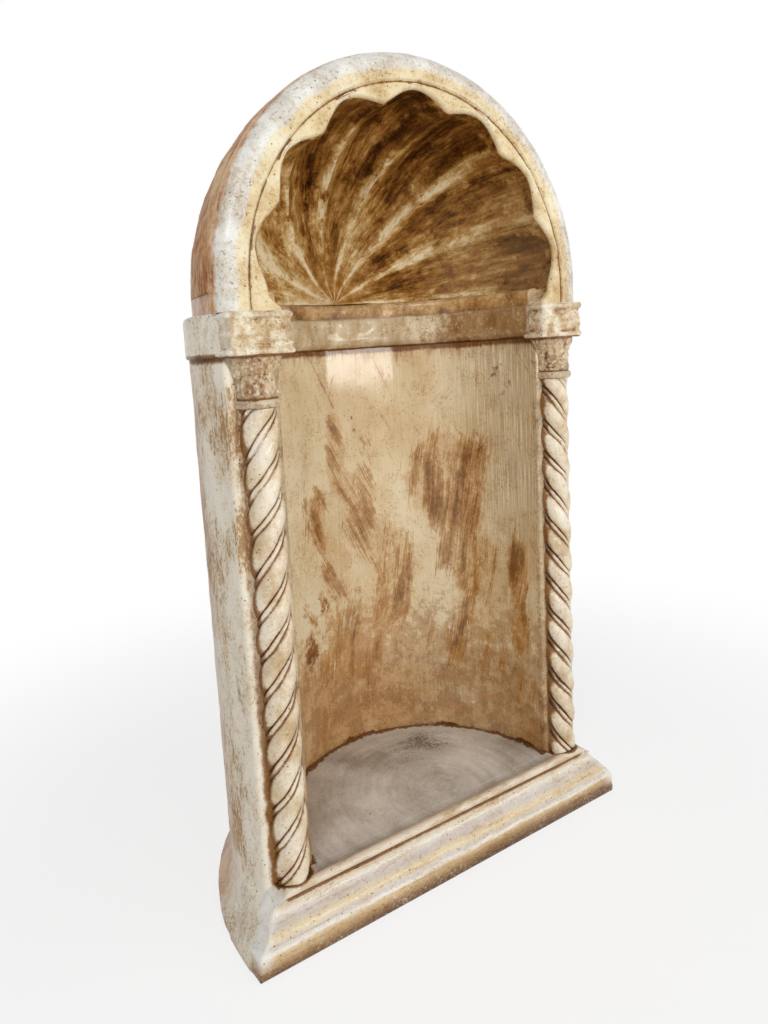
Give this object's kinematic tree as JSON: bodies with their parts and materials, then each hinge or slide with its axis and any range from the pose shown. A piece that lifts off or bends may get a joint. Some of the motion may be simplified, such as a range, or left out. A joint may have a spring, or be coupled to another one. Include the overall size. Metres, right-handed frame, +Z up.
{
  "type": "statue niche",
  "caption": "Free-standing half-round statue niche with a scallop-shell half dome, twisted columns, impost band and moulded plinth, cast and antiqued in cream and brown.",
  "frame": {"origin": "on the ground, on the upright axis of the half-round niche", "axes": "+Z up, +X to the right seen from the front, +Y into the niche, so it opens toward -Y"},
  "size_m": [0.58, 0.3379, 0.988],
  "materials": {
    "wall": "satin",
    "column": "satin",
    "impost": "satin",
    "shell": "satin",
    "arch": "satin",
    "floor": "matte",
    "plinth": "satin"
  },
  "bodies": {
    "root": {"back_wall_1": "wall", "back_wall_2": "wall", "back_wall_3": "wall", "back_wall_4": "wall", "back_wall_5": "wall", "crown_arch_band": "arch", "crown_scalloped_rim": "arch", "floor_slab": "floor", "impost_band_1": "impost", "impost_band_2": "impost", "impost_band_3": "impost", "impost_band_4": "impost", "impost_band_5": "impost", "left_abacus": "impost", "left_arch_band": "arch", "left_astragal": "column", "left_capital": "impost", "left_column": "column", "left_jamb": "wall", "left_scalloped_rim": "arch", "plinth": "plinth", "right_abacus": "impost", "right_arch_band": "arch", "right_astragal": "column", "right_capital": "impost", "right_column": "column", "right_jamb": "wall", "right_scalloped_rim": "arch", "shell_flute_1": "shell", "shell_flute_2": "shell", "shell_flute_3": "shell", "shell_flute_4": "shell", "shell_flute_5": "shell", "shell_flute_6": "shell", "shell_flute_7": "shell", "shell_hinge": "shell", "shell_sill_1": "shell", "shell_sill_2": "shell", "shell_sill_3": "shell", "sill_bead": "plinth"}
  },
  "joints": []
}
